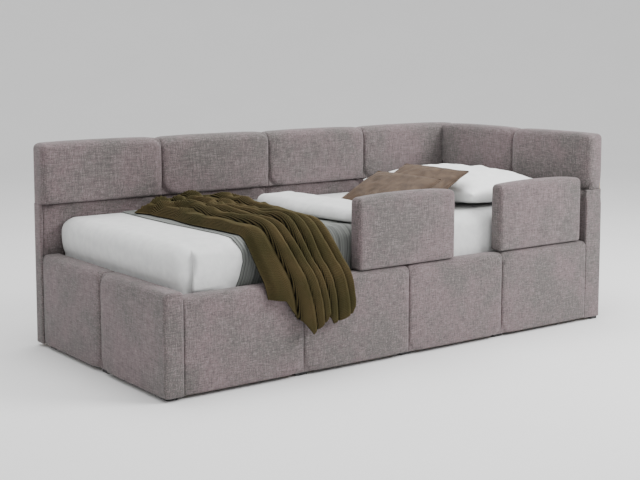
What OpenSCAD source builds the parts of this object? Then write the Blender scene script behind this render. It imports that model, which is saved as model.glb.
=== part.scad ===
// Upholstered corner day bed for a child: low padded box, tall padded back and headboard,
// two lift-out padded guards on the open long side, slatted base, mattress and bedding.
// Millimetres. +X runs from the foot to the headboard, +Y from the open side to the back panel,
// +Z up. The origin is on the floor, under the middle of the bed and its hanging throw.

/* [Bed] */
// Overall length, from the outside of the foot panel to the outside of the headboard
bed_l = 2225; // [2200:5:2260]
// Overall width, from the open side to the rear of the back panel
bed_w = 1050; // [1045:5:1065]
// Height of the back panel and the headboard
bed_h = 835; // [820:5:900]
// Height of the padded side rail on the open side
rail_h = 362; // [356:1:366]
// Height of the padded foot panel
foot_h = 383; // [378:1:400]
// Height of the seam between the upper and lower rows of pads
seam_h = 585; // [570:5:620]

/* [Mattress] */
// Mattress length
mattress_l = 2000; // [1980:5:2010]
// Mattress width
mattress_w = 900; // [880:5:905]
// Mattress thickness
mattress_t = 210; // [180:5:215]

/* [Guards] */
// Length of one guard
guard_l = 482; // [450:1:500]
// Height of one guard
guard_h = 287; // [250:1:300]
// Distance from the foot end to the guard in the middle of the bed
guard_foot_x = 863; // [860:1:900]
// Distance from the foot end to the guard beside the headboard
guard_head_x = 1611; // [1500:1:1620]
// Length of a steel pin below its guard
pin_drop = 95; // [80:1:100]

/* [Base] */
// Number of slats
slat_count = 14; // [10:1:16]
// Width of a slat
slat_w = 70; // [60:1:80]
// Thickness of a slat
slat_t = 18; // [15:1:20]

/* [Hidden] */
$fn = 48;

// Panel build-up, from the outside in
glide_t = 12;        // floor glides under the panels
cover_t = 2;         // stretched fabric on the outer faces
frame_t = 40;        // timber of the headboard
back_frame_t = 30;   // timber of the back panel
ply_t = 6;           // plywood skin behind the pads
gap = 0.5;           // clearance between neighbouring soft pieces
wrap_t = 12;         // padding round the ends of the panels
lip_t = 20;          // padding over the top edges

// Back panel: rear cover, timber, plywood, then pads
back_y = bed_w - cover_t - back_frame_t - ply_t;  // face of the plywood
upper_back_y = back_y - 62;                       // face of the upper pads
lower_back_y = back_y - 22;                       // face of the lower pads
back_pitch = 548;                                 // spacing of the seams along the back

// Headboard: outer cover, timber, plywood, then pads
head_x = bed_l - cover_t - frame_t - ply_t;       // face of the plywood
head_pad_x = head_x - 49;                         // face of the pads
head_seam_y = 475;                                // seam in the middle of the headboard

// Foot panel and side rail
foot_t = 84;
foot_frame_x = 30;
foot_frame_t = 36;
foot_seam_y = 492;
rail_t = 75;
board_y = 25;
board_t = 32;
board_z = 30;
rail_pitch = (head_pad_x - foot_t) / 4;
pad_z = 318;         // lower edge of the padding on the inside of every panel

// Base
mattress_z = 315;
slat_z = mattress_z - slat_t;
ledger_t = 32;
ledger_h = 40;
beam_w = 60;
beam_h = 45;
beam_y = (board_y + board_t + back_y) / 2 - beam_w / 2;
rail_w = 60;          // timbers of the panel frames
stile_w = 60;
end_stile_w = 120;
base_x0 = foot_frame_x + foot_frame_t;            // inside of the foot frame
leg_w = 45;

// Mattress and bedding
mattress_x = 97;
mattress_y = rail_t + (lower_back_y - rail_t - mattress_w) / 2;
mattress_top = mattress_z + mattress_t;
sheet_t = 3;
throw_out = 24;      // how far the hanging throw stands off the side rail

// Guards
guard_y0 = 3;
guard_t = 72;
guard_z = rail_h + 1;
core_t = 18;
core_inset = 14;
pin_r = 6;
pin_clear = 0.05;
socket_r = 9;
pin_inset = 95;      // pin to the guard's end
pin_grip = 60;       // length of a pin inside its guard
guard_mid_y = guard_y0 + guard_t / 2;

// ---- Shapes -----------------------------------------------------------------------------

// A box from corner a to corner b
module box(a, b) {
    translate(a) cube(b - a);
}

// A rectangle with round corners
module rounded_square(size, r) {
    translate([r, 0]) square([size.x - 2 * r, size.y]);
    translate([0, r]) square([size.x, size.y - 2 * r]);
    for (x = [r, size.x - r], y = [r, size.y - r]) translate([x, y]) circle(r);
}

// A block from a to b whose outline is rounded as seen along Y
module block_xz(a, b, r) {
    translate([0, b.y, 0]) rotate([90, 0, 0]) linear_extrude(b.y - a.y)
        translate([a.x, a.z]) rounded_square([b.x - a.x, b.z - a.z], r);
}

// A block from a to b whose outline is rounded as seen along X
module block_yz(a, b, r) {
    translate([a.x, 0, 0]) rotate([90, 0, 90]) linear_extrude(b.x - a.x)
        translate([a.y, a.z]) rounded_square([b.y - a.y, b.z - a.z], r);
}

// A block from a to b whose outline is rounded as seen from above
module block_xy(a, b, r) {
    translate(a) linear_extrude(b.z - a.z) rounded_square([b.x - a.x, b.y - a.y], r);
}

// Outline of a lens: as wide and as high as asked in the middle, and rim high at its ends
module lens(width, height, rim) {
    sag = (height - rim) / 2;
    r = (width * width / 4 + sag * sag) / (2 * sag);
    intersection() {
        square([width, 2 * height], center = true);
        translate([0, r - height / 2]) circle(r, $fn = 180);
        translate([0, height / 2 - r]) circle(r, $fn = 180);
    }
}

// A cushion centred on the origin, crowned both ways, with round corners in plan. The crown
// across Y is cut from a lens a little higher, so the two crowns do not touch at one point.
module cushion_block(size, rim, corner_r) {
    reach = [size.x, size.y, 2 * size.z];
    intersection() {
        block_xy(-reach / 2, reach / 2, corner_r);
        rotate([90, 0, 0]) linear_extrude(size.y + 2, center = true) lens(size.x + 2, size.z, rim);
        rotate([90, 0, 90])
            linear_extrude(size.x + 2, center = true) lens(size.y + 2, size.z + 8, rim);
    }
}

// Moves a shape from bed corner coordinates (outer foot corner, open side) to the row frame
module on_bed() {
    translate([-bed_l / 2, -(bed_w - throw_out) / 2, 0]) children();
}

// ---- Back panel -------------------------------------------------------------------------

// Rails of a tall panel start at these heights, and its stiles fill the bays between them
panel_rails = [board_z, seam_h - 35, bed_h - lip_t - rail_w];
panel_bays = [for (i = [0, 1]) [panel_rails[i] + rail_w, panel_rails[i + 1]]];

module back_rails() {
    color("burlywood")
        for (z = panel_rails)
            box([wrap_t, back_y + ply_t, z], [bed_l - cover_t, bed_w - cover_t, z + rail_w]);
}

module back_stiles() {
    ends = [wrap_t, bed_l - cover_t - end_stile_w];
    seams = [for (i = [1 : 3]) i * back_pitch - stile_w / 2];
    color("burlywood")
        for (run = [[seams, stile_w], [ends, end_stile_w]], x = run[0], z = panel_bays)
            box([x, back_y + ply_t, z[0]], [x + run[1], bed_w - cover_t, z[1]]);
}

module back_plywood() {
    color("tan")
        box([wrap_t, back_y, board_z], [bed_l - cover_t, back_y + ply_t, bed_h - lip_t]);
}

module back_cover() {
    color("gray")
        box([wrap_t, bed_w - cover_t, glide_t + 4], [bed_l - cover_t, bed_w, bed_h - lip_t - gap]);
}

module back_end_wrap() {
    color("rosybrown")
        block_xy([0, lower_back_y, glide_t], [wrap_t, bed_w, seam_h - gap], 4);
}

// Upper pad i, from 0 at the foot: it wraps over the top edge, and the first wraps the end too
module back_upper_pad(i) {
    x0 = i == 0 ? 0 : i * back_pitch + gap;
    x1 = i == 3 ? head_pad_x - gap : (i + 1) * back_pitch - gap;
    lip_x1 = i == 3 ? bed_l : x1;
    color("rosybrown") difference() {
        intersection() {
            union() {
                block_xz([x0, upper_back_y, seam_h + gap], [x1, bed_w, bed_h], 24);
                block_xz([x1 - 80, upper_back_y, bed_h - lip_t], [lip_x1, bed_w, bed_h], 8);
            }
            block_yz([x0, upper_back_y, seam_h + gap], [lip_x1, bed_w, bed_h], 18);
        }
        box([i == 0 ? wrap_t : x0 - 1, back_y, 0], [bed_l + 1, bed_w + 1, bed_h - lip_t]);
    }
}

// Lower pad i, between the seam and the mattress support
module back_lower_pad(i) {
    x0 = i == 0 ? wrap_t : i * back_pitch + gap;
    x1 = i == 3 ? head_pad_x - gap : (i + 1) * back_pitch - gap;
    color("rosybrown")
        block_xz([x0, lower_back_y, pad_z], [x1, back_y, seam_h - gap], 10);
}

// ---- Headboard --------------------------------------------------------------------------

module head_rails() {
    color("burlywood")
        for (z = panel_rails)
            box([head_x + ply_t, wrap_t, z], [bed_l - cover_t, back_y, z + rail_w]);
}

module head_stiles() {
    ends = [wrap_t, back_y - end_stile_w];
    middle = [head_seam_y - stile_w / 2];
    color("burlywood")
        for (run = [[middle, stile_w], [ends, end_stile_w]], y = run[0], z = panel_bays)
            box([head_x + ply_t, y, z[0]], [bed_l - cover_t, y + run[1], z[1]]);
}

module head_plywood() {
    color("tan")
        box([head_x, wrap_t, board_z], [head_x + ply_t, back_y, bed_h - lip_t]);
}

module head_cover() {
    color("gray")
        box([bed_l - cover_t, wrap_t, glide_t + 4], [bed_l, bed_w, bed_h - lip_t - gap]);
}

module head_end_wrap() {
    color("rosybrown")
        block_xy([head_pad_x, 0, glide_t], [bed_l, wrap_t - gap, seam_h - gap], 5);
}

// Upper pad i, from 0 at the open side, where it wraps the end of the panel
module head_upper_pad(i) {
    y0 = i == 0 ? 0 : head_seam_y + gap;
    y1 = i == 0 ? head_seam_y - gap : upper_back_y - gap;
    color("rosybrown") difference() {
        intersection() {
            block_yz([head_pad_x, y0, seam_h + gap], [bed_l, y1, bed_h], 24);
            block_xz([head_pad_x, y0, seam_h + gap], [bed_l, y1, bed_h], 18);
        }
        box([head_x, i == 0 ? wrap_t : y0 - 1, 0], [bed_l + 1, bed_w, bed_h - lip_t]);
    }
}

module head_lower_pad(i) {
    y0 = i == 0 ? wrap_t : head_seam_y + gap;
    y1 = i == 0 ? head_seam_y - gap : lower_back_y - gap;
    color("rosybrown")
        block_yz([head_pad_x, y0, pad_z], [head_x, y1, seam_h - gap], 10);
}

// ---- Foot panel -------------------------------------------------------------------------

foot_top_rail_z = foot_h - lip_t - rail_w;

// The lower rail meets the back panel's plywood, and the upper one stops at its pads
module foot_rails() {
    color("burlywood")
        for (rail = [[board_z, back_y], [foot_top_rail_z, lower_back_y - gap]])
            box([foot_frame_x, wrap_t, rail[0]], [base_x0, rail[1], rail[0] + rail_w]);
}

module foot_stiles() {
    color("burlywood")
        for (y = [[wrap_t, end_stile_w], [beam_y, beam_w], [back_y - end_stile_w, end_stile_w]])
            box([foot_frame_x, y[0], board_z + rail_w], [base_x0, y[0] + y[1], foot_top_rail_z]);
}

// Foot pad i, from 0 at the open side: outside, over the top and a short way down inside
module foot_pad(i) {
    y0 = i == 0 ? 0 : foot_seam_y + gap;
    y1 = i == 0 ? foot_seam_y - gap : lower_back_y - gap;
    color("rosybrown") difference() {
        intersection() {
            block_yz([0, y0, glide_t], [foot_t - gap, y1, foot_h], 30);
            block_xz([0, y0, glide_t], [foot_t - gap, y1, foot_h], 18);
        }
        box([foot_frame_x, i == 0 ? wrap_t : y0 - 1, 0], [base_x0, bed_w, foot_h - lip_t]);
        box([base_x0 - 1, wrap_t, 0], [foot_t + 1, bed_w, pad_z]);
    }
}

// ---- Side rail --------------------------------------------------------------------------

// The places of the four guard pins along the rail
pin_xs = [for (x = [guard_foot_x, guard_head_x], e = [pin_inset, guard_l - pin_inset]) x + e];

module side_rail() {
    color("burlywood") difference() {
        union() {
            box([base_x0, board_y, board_z], [head_x, board_y + board_t, pad_z - gap]);
            box([foot_t, board_y, pad_z - 2], [head_pad_x - gap, board_y + board_t, rail_h - lip_t]);
        }
        for (x = pin_xs)
            translate([x, guard_mid_y, rail_h - pin_drop - 30]) cylinder(r = socket_r, h = pin_drop + 40);
    }
}

// Side pad i, from 0 at the foot: outside, over the top and a short way down inside
module side_pad(i) {
    a = [foot_t + i * rail_pitch + gap, 0, glide_t];
    b = [foot_t + (i + 1) * rail_pitch - gap, rail_t, rail_h];
    color("rosybrown") difference() {
        intersection() {
            block_xz(a, b, 30);
            block_yz(a, b, 18);
        }
        box([a.x - 1, board_y, 0], [b.x + 1, board_y + board_t, rail_h - lip_t]);
        box([a.x - 1, board_y + board_t - 1, 0], [b.x + 1, rail_t + 1, pad_z]);
        for (x = pin_xs)
            translate([x, guard_mid_y, rail_h - lip_t - 1]) cylinder(r = socket_r, h = lip_t + 2);
    }
}

// Plastic sleeves in the rail that the guards' pins drop into
module guard_sockets() {
    color("dimgray")
        for (x = pin_xs) translate([x, guard_mid_y, rail_h - pin_drop - 30]) difference() {
            cylinder(r = socket_r, h = pin_drop + 29.5);
            translate([0, 0, 8]) cylinder(r = pin_r + pin_clear, h = pin_drop + 40);
        }
}

// ---- Base -------------------------------------------------------------------------------

module slat_ledgers() {
    color("burlywood") {
        y_front = board_y + board_t;
        for (y = [y_front, back_y - ledger_t])
            box([base_x0, y, slat_z - ledger_h], [head_x, y + ledger_t, slat_z]);
    }
}

module centre_beam() {
    color("burlywood")
        box([base_x0 + 3, beam_y, slat_z - beam_h], [head_x - 3, beam_y + beam_w, slat_z]);
}

// A pressed steel hanger at each end of the beam
module beam_hangers() {
    drop = slat_z - beam_h - 3;
    color("silver")
        for (end = [0, 1]) {
            x = end == 0 ? base_x0 : head_x - 3;
            reach = end == 0 ? [3, 40] : [-37, 0];
            box([x, beam_y - 25, drop - 20], [x + 3, beam_y + beam_w + 25, slat_z]);
            box([x + reach[0], beam_y - 3, drop], [x + reach[1], beam_y + beam_w + 3, drop + 3]);
            for (y = [beam_y - 3, beam_y + beam_w])
                box([x + reach[0], y, drop + 3], [x + reach[1], y + 3, slat_z - 8]);
        }
}

leg_xs = [for (i = [1 : 3]) bed_l * i / 4];

module centre_legs() {
    color("burlywood")
        for (x = leg_xs)
            box([x - leg_w / 2, beam_y + (beam_w - leg_w) / 2, glide_t],
                [x + leg_w / 2, beam_y + (beam_w + leg_w) / 2, slat_z - beam_h]);
}

module slats() {
    first = base_x0 + 40;
    pitch = (head_x - 40 - slat_w - first) / (slat_count - 1);
    color("wheat")
        for (i = [0 : slat_count - 1])
            box([first + i * pitch, board_y + board_t + 2, slat_z],
                [first + i * pitch + slat_w, back_y - 2, mattress_z]);
}

// Two webbing straps stapled under the slats
module slat_straps() {
    color("black")
        for (y = [310, 760])
            box([base_x0 + 45, y, slat_z - 1.5], [head_x - 45, y + 25, slat_z]);
}

// Angle bracket with one leg along X and one along Y; sx and sy say which way the legs run
module bracket(sx, sy) {
    leg = 60;
    t = 3;
    height = 110;
    mirror([sx < 0 ? 1 : 0, 0, 0]) mirror([0, sy < 0 ? 1 : 0, 0]) difference() {
        union() {
            box([0, 0, 0], [leg, t, height]);
            box([0, 0, 0], [t, leg, height]);
        }
        for (z = [25, 85]) {
            translate([40, -1, z]) rotate([-90, 0, 0]) cylinder(r = bolt_r, h = t + 2);
            translate([-1, 40, z]) rotate([0, 90, 0]) cylinder(r = bolt_r, h = t + 2);
        }
    }
}

bolt_r = 3;
bracket_z = 120;
// Inside corners of the frame: [x, y, direction of the X leg, direction of the Y leg]
corners = [
    [base_x0, board_y + board_t, 1, 1],
    [head_x, board_y + board_t, -1, 1],
    [base_x0, back_y, 1, -1],
    [head_x, back_y, -1, -1]];

module corner_brackets() {
    color("silver")
        for (c = corners) translate([c[0], c[1], bracket_z]) bracket(c[2], c[3]);
}

// Button-head bolts through the brackets: the shank only reaches through the plate
module bracket_bolts() {
    color("dimgray")
        for (c = corners, z = [25, 85]) translate([c[0], c[1], bracket_z + z])
            mirror([c[2] < 0 ? 1 : 0, 0, 0]) mirror([0, c[3] < 0 ? 1 : 0, 0]) {
                translate([40, 0, 0]) rotate([-90, 0, 0]) bolt();
                translate([0, 40, 0]) rotate([0, 90, 0]) bolt();
            }
}

module bolt() {
    cylinder(r = bolt_r, h = 4);
    translate([0, 0, 3]) cylinder(r1 = 6, r2 = 4, h = 3, $fn = 24);
}

// Middles of the frame timbers, where the glides are fixed
foot_mid_x = foot_frame_x + foot_frame_t / 2;
head_mid_x = bed_l - cover_t - frame_t / 2;
board_mid_y = board_y + board_t / 2;
back_mid_y = bed_w - cover_t - back_frame_t / 2;
rail_thirds = [for (i = [1 : 3]) foot_t + i * rail_pitch];
back_thirds = [for (i = [1 : 3]) i * back_pitch];

// Black plastic glides: [centre x, centre y, half length along X, half length along Y]
glides = concat(
    [for (y = [52, foot_seam_y, 950]) [foot_mid_x, y, 22, 28]],
    [for (y = [36, head_seam_y, 960]) [head_mid_x, y, 21, 26]],
    [for (x = rail_thirds) [x, board_mid_y, 28, 15]],
    [for (x = back_thirds) [x, back_mid_y, 28, 14]]);

module floor_glides() {
    stem = 8;
    y_leg = beam_y + beam_w / 2;
    color("black") {
        for (g = glides) {
            block_xy([g[0] - g[2], g[1] - g[3], 0], [g[0] + g[2], g[1] + g[3], glide_t], 8);
            translate([g[0], g[1], glide_t - 1]) cylinder(r = stem, h = board_z - glide_t + 1);
        }
        for (x = leg_xs) block_xy([x - 20, y_leg - 20, 0], [x + 20, y_leg + 20, glide_t], 8);
    }
}

// ---- Guards -----------------------------------------------------------------------------

module guard_core(x0) {
    y0 = guard_mid_y - core_t / 2;
    color("burlywood") difference() {
        box([x0 + core_inset, y0, guard_z],
            [x0 + guard_l - core_inset, y0 + core_t, guard_z + guard_h - core_inset]);
        for (e = [pin_inset, guard_l - pin_inset])
            translate([x0 + e, guard_mid_y, guard_z - 1]) cylinder(r = pin_r, h = pin_grip + 1);
    }
}

module guard_pad(x0) {
    a = [x0, guard_y0, guard_z];
    b = [x0 + guard_l, guard_y0 + guard_t, guard_z + guard_h];
    y0 = guard_mid_y - core_t / 2;
    color("rosybrown") difference() {
        intersection() {
            block_xz(a, b, 38);
            block_yz(a, b, 24);
            block_xy(a, b, 24);
        }
        box([x0 + core_inset, y0, guard_z - 1],
            [x0 + guard_l - core_inset, y0 + core_t, guard_z + guard_h - core_inset]);
    }
}

module guard_pins(x0) {
    color("silver")
        for (e = [pin_inset, guard_l - pin_inset]) translate([x0 + e, guard_mid_y, guard_z]) {
            translate([0, 0, 3 - pin_drop]) cylinder(r = pin_r, h = pin_drop + pin_grip - 3);
            translate([0, 0, -pin_drop]) cylinder(r1 = pin_r - 2.5, r2 = pin_r, h = 3);
        }
}

// ---- Mattress and bedding ---------------------------------------------------------------

mattress_a = [mattress_x, mattress_y, mattress_z];
mattress_b = mattress_a + [mattress_l, mattress_w, mattress_t];

module mattress() {
    inset = [sheet_t, sheet_t, 0];
    color("ivory")
        block_xy(mattress_a + inset, mattress_b - inset - [0, 0, sheet_t], 37);
}

module fitted_sheet() {
    inset = [sheet_t, sheet_t, 0];
    color("white") difference() {
        block_xy(mattress_a, mattress_b, 40);
        block_xy(mattress_a + inset - [0, 0, 1], mattress_b - inset - [0, 0, sheet_t], 37);
    }
}

// Striped blanket across the bed, tucked down both sides of the mattress
module coverlet() {
    over = 3.5;
    x0 = 355;
    x1 = 1120;
    color("slategray") difference() {
        box([x0, mattress_a.y - over, 345], [x1, mattress_b.y + over, mattress_top + over]);
        box([x0 - 1, mattress_a.y - gap, 344], [x1 + 1, mattress_b.y + gap, mattress_top + gap]);
    }
}

// Bedding lies on the coverlet from here up
bedding_z = mattress_top + 4;

// Folded duvet across the middle of the bed
module duvet() {
    a = [868, 105, bedding_z];
    b = [1125, 830, bedding_z + 48];
    color("whitesmoke") intersection() {
        block_xz(a, b, 22);
        block_yz(a, b, 22);
    }
}

// Knitted throw: across the mattress, over the side rail and down its outside
module throw() {
    top_z = bedding_z + 34;
    hem_z = 165;
    color("olive") {
        block_xz([300, 100, bedding_z], [848, 930, top_z], 14);
        translate([385, 0, 0]) rotate([90, 0, 90]) linear_extrude(450)
            polygon([
                [101, bedding_z], [72, bedding_z + 1], [0, rail_h + 12], [-2, rail_h], [-2, hem_z],
                [-throw_out, hem_z], [-throw_out, rail_h + 20], [62, top_z - 8], [101, top_z]]);
    }
}

module pillow() {
    color("white")
        translate([1827, 515, bedding_z + 76]) cushion_block([510, 730, 150], 50, 50);
}

// Two small cushions lean one against the other on the pillow
module cushion_back() {
    color("peru")
        translate([1467, 402, 613]) rotate([0, -28, 0]) cushion_block([300, 400, 84], 24, 16);
}

module cushion_front() {
    color("peru")
        translate([1256, 330, 607]) rotate([0, -27, 0]) cushion_block([275, 400, 84], 24, 16);
}

// ---- Nodes ------------------------------------------------------------------------------

on_bed() {
    back_rails();
    back_stiles();
    back_plywood();
    back_cover();
    back_end_wrap();
    for (i = [0 : 3]) {
        back_upper_pad(i);
        back_lower_pad(i);
        side_pad(i);
    }
    head_rails();
    head_stiles();
    head_plywood();
    head_cover();
    head_end_wrap();
    for (i = [0 : 1]) {
        head_upper_pad(i);
        head_lower_pad(i);
        foot_pad(i);
    }
    foot_rails();
    foot_stiles();
    side_rail();
    slat_ledgers();
    centre_beam();
    beam_hangers();
    centre_legs();
    slats();
    slat_straps();
    corner_brackets();
    bracket_bolts();
    floor_glides();
    guard_sockets();
    guard_core(guard_foot_x);  // guard_foot_core
    guard_pad(guard_foot_x);  // guard_foot_pad
    guard_pins(guard_foot_x);  // guard_foot_pins
    guard_core(guard_head_x);  // guard_head_core
    guard_pad(guard_head_x);  // guard_head_pad
    guard_pins(guard_head_x);  // guard_head_pins
    mattress();
    fitted_sheet();
    coverlet();
    duvet();
    throw();
    pillow();
    cushion_back();
    cushion_front();
}
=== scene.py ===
"""Looks of a child's corner day bed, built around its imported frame.

Every piece is made in metres in the frame's own axes. Soft goods are described from the bed's
outer foot corner on the open side, which `Bed.corner` places in those axes.
"""

import logging
import math
from dataclasses import dataclass, field
from enum import Enum
from typing import Callable, Iterable, Sequence

import bmesh
import bpy
from mathutils import Euler, Matrix, Vector, noise

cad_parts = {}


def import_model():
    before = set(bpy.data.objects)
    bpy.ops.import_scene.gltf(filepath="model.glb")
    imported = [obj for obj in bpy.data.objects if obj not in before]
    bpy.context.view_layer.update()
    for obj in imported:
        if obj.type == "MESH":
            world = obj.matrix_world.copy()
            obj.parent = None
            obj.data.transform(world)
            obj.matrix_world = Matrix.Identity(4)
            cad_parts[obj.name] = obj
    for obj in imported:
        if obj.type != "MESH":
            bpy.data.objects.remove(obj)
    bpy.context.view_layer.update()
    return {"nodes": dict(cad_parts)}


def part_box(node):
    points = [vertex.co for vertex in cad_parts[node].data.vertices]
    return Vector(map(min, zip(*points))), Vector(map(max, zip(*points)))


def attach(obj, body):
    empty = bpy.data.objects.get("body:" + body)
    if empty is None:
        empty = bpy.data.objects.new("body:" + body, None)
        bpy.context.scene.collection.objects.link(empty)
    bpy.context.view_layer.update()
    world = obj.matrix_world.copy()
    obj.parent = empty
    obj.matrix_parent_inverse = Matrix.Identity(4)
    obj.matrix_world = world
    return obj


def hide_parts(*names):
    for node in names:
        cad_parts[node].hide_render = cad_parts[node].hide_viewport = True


log = logging.getLogger("day_bed")

Colour = tuple[float, float, float]
Point2 = tuple[float, float]
BASE_BODY = "bed_frame"
BEDDING_BODY = "bedding"

OVERCUT = 0.01  # how far a cutter reaches past what it cuts
OPEN_SIDE = 0.1  # how far a cutter runs on where a pad's hollow is open
HAIR = 0.0005  # a gap too thin to see
COVER_ROUND = (0.0006, 0.0006, 0.0006)  # the edges of a stretched cover
COVER_STEP = 0.02  # the grid of a stretched cover


class Axis(Enum):
    """The three axes of the frame."""

    X = 0
    Y = 1
    Z = 2


class Side(Enum):
    """The two ends of an axis."""

    LOW = -1
    HIGH = 1


# ---- Small tools ------------------------------------------------------------------------


def smooth(value: float, start: float, end: float) -> float:
    """Ease from 0 at start to 1 at end."""
    ratio = min(1.0, max(0.0, (value - start) / (end - start)))
    return ratio * ratio * (3.0 - 2.0 * ratio)


def through(points: Sequence[Point2], value: float) -> float:
    """Read a curve given by its points, straight between them.

    Args:
        points: (position, height) pairs in rising order of position.
        value: The position to read.

    Returns:
        The height there, held level past both ends.
    """
    if value <= points[0][0]:
        return points[0][1]
    for (x0, y0), (x1, y1) in zip(points, points[1:]):
        if value <= x1:
            return y0 + (y1 - y0) * (value - x0) / (x1 - x0)
    return points[-1][1]


def grain(point: Vector, scale: float, seed: float = 0.0) -> float:
    """Smooth noise from -1 to 1 whose bumps are about 1/scale metres across."""
    return noise.noise(point * scale + Vector((seed, seed * 1.7, seed * 0.3)))


def seed_of(name: str) -> float:
    """A fixed number for a piece's name, so that no two pieces wrinkle alike."""
    return sum(ord(letter) * (place + 1) for place, letter in enumerate(name)) % 97 * 1.31


def gridded_box(lo: Vector, hi: Vector, steps: Sequence[float]) -> bmesh.types.BMesh:
    """Make a closed box whose faces are cut into a grid.

    Args:
        lo: Lowest corner.
        hi: Highest corner.
        steps: Largest spacing of the cuts along each axis.

    Returns:
        The box as a new bmesh.
    """
    bm = bmesh.new()
    bmesh.ops.create_cube(bm, size=1.0)
    bmesh.ops.scale(bm, vec=hi - lo, verts=bm.verts)
    bmesh.ops.translate(bm, vec=(lo + hi) / 2, verts=bm.verts)
    for axis in range(3):
        cuts = math.ceil((hi - lo)[axis] / steps[axis]) - 1
        if cuts > 0:
            along = [e for e in bm.edges if abs((e.verts[0].co - e.verts[1].co)[axis]) > 1e-6]
            bmesh.ops.subdivide_edges(bm, edges=along, cuts=cuts, use_grid_fill=True)
    return bm


def gridded_sheet(columns: int, rows: int) -> bmesh.types.BMesh:
    """Make a flat unit sheet from (0, 0) to (1, 1)."""
    bm = bmesh.new()
    bmesh.ops.create_grid(bm, x_segments=columns, y_segments=rows, size=0.5, calc_uvs=False)
    bmesh.ops.translate(bm, vec=(0.5, 0.5, 0.0), verts=bm.verts)
    return bm


def bake(obj: bpy.types.Object) -> None:
    """Apply an object's modifiers to its mesh."""
    depsgraph = bpy.context.evaluated_depsgraph_get()
    shaped = bpy.data.meshes.new_from_object(obj.evaluated_get(depsgraph))
    old = obj.data
    obj.modifiers.clear()
    obj.data = shaped
    bpy.data.meshes.remove(old)


def loose_object(name: str, bm: bmesh.types.BMesh) -> bpy.types.Object:
    """Put a bmesh into a new smooth-shaded object at the origin."""
    mesh = bpy.data.meshes.new(name)
    bm.to_mesh(mesh)
    bm.free()
    mesh.shade_smooth()
    obj = bpy.data.objects.new(name, mesh)
    bpy.context.collection.objects.link(obj)
    return obj


def carve(obj: bpy.types.Object, cutters: Iterable[bmesh.types.BMesh]) -> None:
    """Cut closed shapes out of an object.

    Args:
        obj: The object to cut.
        cutters: The shapes to take away, one after another.
    """
    for cutter in cutters:
        tool = loose_object("cutter", cutter)
        tool.data.shade_flat()
        cut = obj.modifiers.new("cut", "BOOLEAN")
        cut.operation = "DIFFERENCE"
        cut.solver = "EXACT"
        cut.object = tool
        bake(obj)
        bpy.data.meshes.remove(tool.data)


def plain_box(lo: Sequence[float], hi: Sequence[float]) -> bmesh.types.BMesh:
    """Make a box between two corners, to cut with."""
    return gridded_box(Vector(lo), Vector(hi), (9.0, 9.0, 9.0))


def plain_rod(centre: Point2, radius: float, low: float, high: float) -> bmesh.types.BMesh:
    """Make an upright round rod, to cut with."""
    bm = bmesh.new()
    bmesh.ops.create_cone(
        bm, cap_ends=True, segments=32, radius1=radius, radius2=radius, depth=high - low
    )
    bmesh.ops.translate(bm, vec=(centre[0], centre[1], (low + high) / 2), verts=bm.verts)
    return bm


# ---- Finishes ---------------------------------------------------------------------------


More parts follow.
